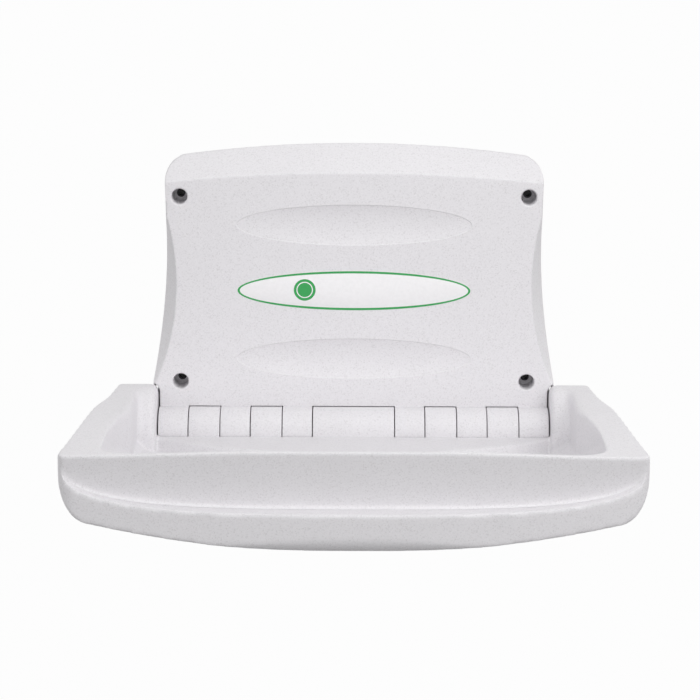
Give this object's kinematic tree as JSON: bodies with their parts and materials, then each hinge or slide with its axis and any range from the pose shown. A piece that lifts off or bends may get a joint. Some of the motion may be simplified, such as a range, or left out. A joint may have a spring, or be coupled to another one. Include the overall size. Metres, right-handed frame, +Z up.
{
  "type": "wall-mounted changing table",
  "caption": "Horizontal fold-down changing table: a moulded wall unit with a knuckled hinge and a hollowed bed that folds up flat over it.",
  "frame": {"origin": "middle of the four wall fixings, on the wall plane", "axes": "+X to the right along the wall, -Y out into the room, +Z up; the bed stands open"},
  "size_m": [0.858, 0.585, 0.5305],
  "materials": {
    "moulding": "matte, speckled",
    "label": "satin film",
    "steel": "satin",
    "zinc": "zinc plated",
    "black_paint": "black",
    "rubber": "matte",
    "nylon": "natural nylon"
  },
  "bodies": {
    "wall_unit": {"panel_shell": "moulding", "back_plate": "steel", "fixing_spacers": "zinc", "hinge_lugs": "steel", "hinge_bushes": "nylon", "panel_screws": "zinc", "label_plate": "label", "stop_pads": "rubber", "damper_cylinder": "black_paint", "damper_bracket": "steel", "damper_pivot_pin": "zinc"},
    "bed": {"bed_tray": "moulding", "bed_underside": "moulding", "bed_frame_left": "steel", "bed_frame_right": "steel", "frame_cross_bars": "steel", "hinge_rod": "steel", "rod_clips": "black_paint", "rod_lock_pins": "zinc", "damper_crank": "steel", "crank_pin": "zinc", "bed_screws": "zinc"},
    "damper_piston": {"damper_rod": "zinc", "damper_yoke": "steel"}
  },
  "joints": [
    {"name": "bed_fold", "type": "hinge", "parent": "wall_unit", "child": "bed", "pos_m": [0, -0.077, -0.23], "axis": [-1, 0, 0], "range_deg": [0, 90]},
    {"name": "damper_slide", "type": "slide", "parent": "wall_unit", "child": "damper_piston", "axis": [0, 0, -1], "range_m": [0, 0.0426]}
  ],
  "couplings": [
    {"joint": "damper_slide", "follows": "bed_fold", "m_per_rad": 0.02701}
  ]
}
